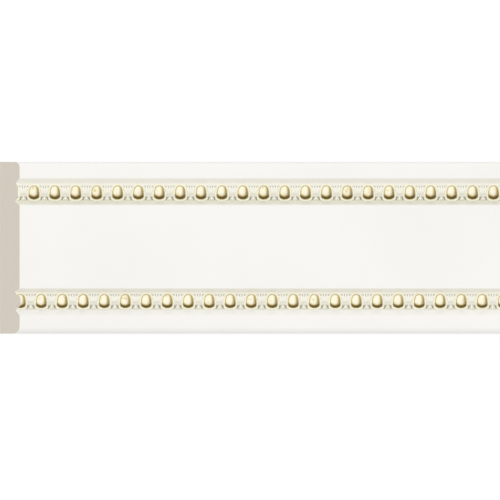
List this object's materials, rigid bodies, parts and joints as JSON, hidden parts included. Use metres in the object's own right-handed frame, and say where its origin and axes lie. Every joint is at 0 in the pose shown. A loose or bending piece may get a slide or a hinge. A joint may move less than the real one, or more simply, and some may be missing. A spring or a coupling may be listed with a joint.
{
  "type": "panel moulding",
  "caption": "Straight length of flat decorative wall moulding with a grooved band of gilt egg-shaped beads along each long edge, a flat back for gluing and a mitred end.",
  "frame": {"origin": "on the back face, at the middle of the back's length and width", "axes": "+X along the stock from the mitred end to the square end, +Y across it towards the edge shown uppermost, +Z out of the face"},
  "size_m": [2, 0.1, 0.0121],
  "materials": {
    "white_film": "satin warm white printed film over the face and long edges",
    "gilt": "pale gold foil on the beads",
    "raw_core": "bare beige foamed polystyrene on the back and the sawn ends"
  },
  "bodies": {
    "root": {"panel_moulding": "white_film"}
  },
  "joints": []
}
